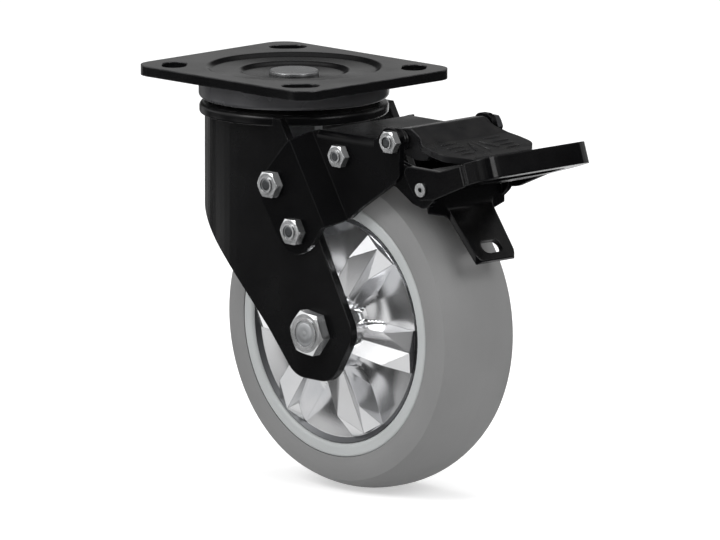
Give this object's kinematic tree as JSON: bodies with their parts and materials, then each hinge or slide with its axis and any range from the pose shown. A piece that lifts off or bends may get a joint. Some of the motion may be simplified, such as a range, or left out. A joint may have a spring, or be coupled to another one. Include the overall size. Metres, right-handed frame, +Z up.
{
  "type": "swivel castor with wheel brake",
  "caption": "Swivel castor: slotted top plate, pressed fork, bolted-on pedal brake with foot loop and release pad, rubber-tyred wheel with a faceted spoked core",
  "frame": {"origin": "the swivel axis where it meets the top face of the top plate", "axes": "+Z up out of the plate's top face, +X the way the wheel trails, to the brake pedals, -Y the side of the axle nut"},
  "size_m": [0.2189, 0.099, 0.1896],
  "materials": {
    "plate_black": "satin",
    "ring_grey": "satin",
    "fork_black": "satin",
    "brake_black": "satin",
    "zinc": "zinc plated, bright",
    "steel": "plain",
    "ball_steel": "polished",
    "rivet_grey": "satin",
    "core_light": "polished facets",
    "liner_grey": "satin",
    "tyre_grey": "matt"
  },
  "bodies": {
    "plate": {"top_plate": "plate_black", "dust_ring": "ring_grey", "king_pin": "rivet_grey", "lower_race": "steel", "king_nut": "steel"},
    "fork": {"yoke": "fork_black", "upper_balls": "ball_steel", "lower_balls": "ball_steel", "brake_bracket": "brake_black", "bracket_bolts": "zinc", "bracket_nuts": "zinc", "arm_bolt": "zinc", "arm_nut": "zinc", "pedal_bolt": "zinc", "pedal_nut": "zinc", "axle_bolt": "zinc", "axle_nut": "zinc", "axle_spacers": "steel", "bearing_inner_races": "steel", "bearing_sleeve": "steel", "pedal_springs": "steel"},
    "wheel": {"wheel_core": "core_light", "wheel_liner": "liner_grey", "tyre": "tyre_grey", "bearing_outer_races": "steel", "bearing_balls": "ball_steel"},
    "arm": {"brake_arm": "brake_black", "lever_rivets": "zinc"},
    "lever": {"foot_lever": "brake_black"},
    "pedal": {"release_pedal": "brake_black"}
  },
  "joints": [
    {"name": "swivel", "type": "hinge", "parent": "plate", "child": "fork", "pos_m": [0, 0, 0], "axis": [0, 0, 1], "continuous": true},
    {"name": "wheel_spin", "type": "hinge", "parent": "fork", "child": "wheel", "pos_m": [0.0502, 0, -0.1134], "axis": [0, 1, 0], "continuous": true},
    {"name": "arm_hinge", "type": "hinge", "parent": "fork", "child": "arm", "pos_m": [0.0628, 0, -0.0305], "axis": [0, 1, 0], "range_deg": [0, 10]},
    {"name": "lever_hinge", "type": "hinge", "parent": "arm", "child": "lever", "pos_m": [0.1116, 0, -0.0408], "axis": [0, 1, 0], "range_deg": [0, 12.5]},
    {"name": "pedal_hinge", "type": "hinge", "parent": "fork", "child": "pedal", "pos_m": [0.0963, 0, -0.0199], "axis": [0, 1, 0], "range_deg": [-12.5, 0]}
  ],
  "couplings": [
    {"joint": "lever_hinge", "follows": "arm_hinge", "ratio": 1.2},
    {"joint": "pedal_hinge", "follows": "arm_hinge", "ratio": -1.2}
  ]
}
